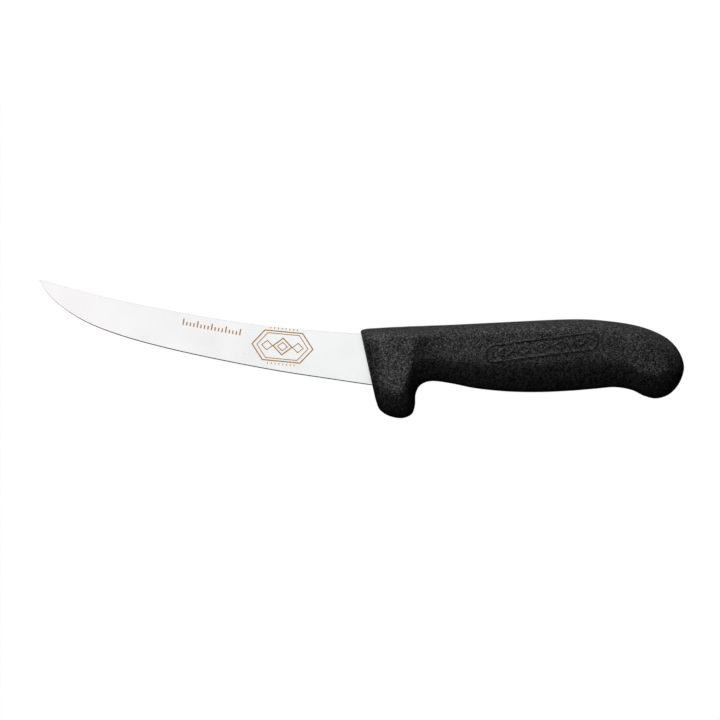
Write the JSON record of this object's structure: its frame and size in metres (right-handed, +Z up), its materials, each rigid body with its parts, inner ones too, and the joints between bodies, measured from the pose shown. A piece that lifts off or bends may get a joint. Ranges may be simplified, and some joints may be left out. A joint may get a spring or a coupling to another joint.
{
  "type": "boning knife",
  "caption": "Butcher's boning knife with an upswept narrow steel blade and a grained black moulded handle with finger guard and hooked butt.",
  "frame": {"origin": "on the surface that the knife lies on, under the middle of its bounding box", "axes": "+X from the tip of the blade to the butt of the handle, +Y from the cutting edge to the spine, +Z up across the knife, out of the cheek that faces up"},
  "size_m": [0.287, 0.0618, 0.024],
  "materials": {
    "blade_steel": "fine ground stainless steel, satin",
    "core_plastic": "moulded hard plastic, hidden inside the grip",
    "grip_plastic": "black moulded plastic with a coarse non-slip grain",
    "blade_etch": "brown laser-annealed mark on the steel"
  },
  "bodies": {
    "root": {"blade": "blade_steel", "handle_core": "core_plastic", "handle_grip": "grip_plastic"}
  },
  "joints": []
}
